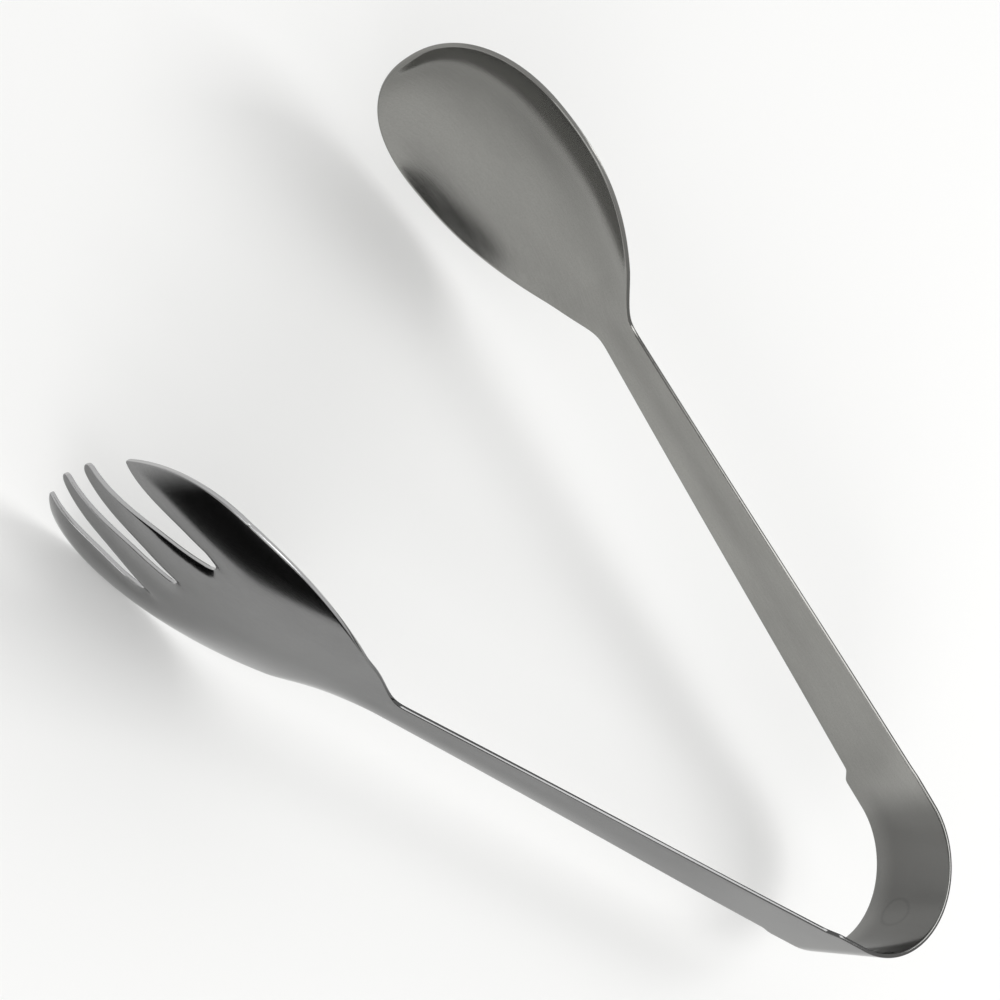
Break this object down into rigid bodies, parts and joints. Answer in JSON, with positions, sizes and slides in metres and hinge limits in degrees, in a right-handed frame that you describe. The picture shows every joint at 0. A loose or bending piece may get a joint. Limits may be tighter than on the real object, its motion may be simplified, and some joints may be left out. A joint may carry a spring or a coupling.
{
  "type": "spring serving tongs",
  "caption": "Sprung stainless-steel serving tongs bent from one strip, with a spoon bowl on one arm and a slotted fork on the other.",
  "frame": {"origin": "bottom centre of the bounding box, with the tongs lying on their side at rest", "axes": "+X from the bow to the heads, +Y from the spoon's side to the fork's side (the way they open), +Z across the strip, up from the table"},
  "size_m": [0.2076, 0.1208, 0.0658],
  "materials": {
    "bow_steel": "satin, with fine rubbing marks inside the bow",
    "arm_steel": "satin, brushed along the arm",
    "head_steel": "fine satin, polished towards the rims"
  },
  "bodies": {
    "bow": {"bow_apex": "bow_steel"},
    "spoon_side": {"spoon_bow_end": "bow_steel", "spoon_arm": "arm_steel", "spoon_bowl": "head_steel"},
    "fork_side": {"fork_bow_end": "bow_steel", "fork_arm": "arm_steel", "fork_palm": "head_steel", "tine_outer_low": "head_steel", "tine_inner_low": "head_steel", "tine_inner_high": "head_steel", "tine_outer_high": "head_steel"}
  },
  "joints": [
    {"name": "spoon_flex", "type": "hinge", "parent": "bow", "child": "spoon_side", "pos_m": [-0.09895, -0.00929, 0.0329], "axis": [0, 0, 1], "range_deg": [0, 15.4], "stiffness_Nm_per_rad": 8},
    {"name": "fork_flex", "type": "hinge", "parent": "bow", "child": "fork_side", "pos_m": [-0.09895, 0.01392, 0.0329], "axis": [0, 0, 1], "range_deg": [-15.4, 0], "stiffness_Nm_per_rad": 8}
  ],
  "couplings": [
    {"joint": "fork_flex", "follows": "spoon_flex", "ratio": -1}
  ]
}
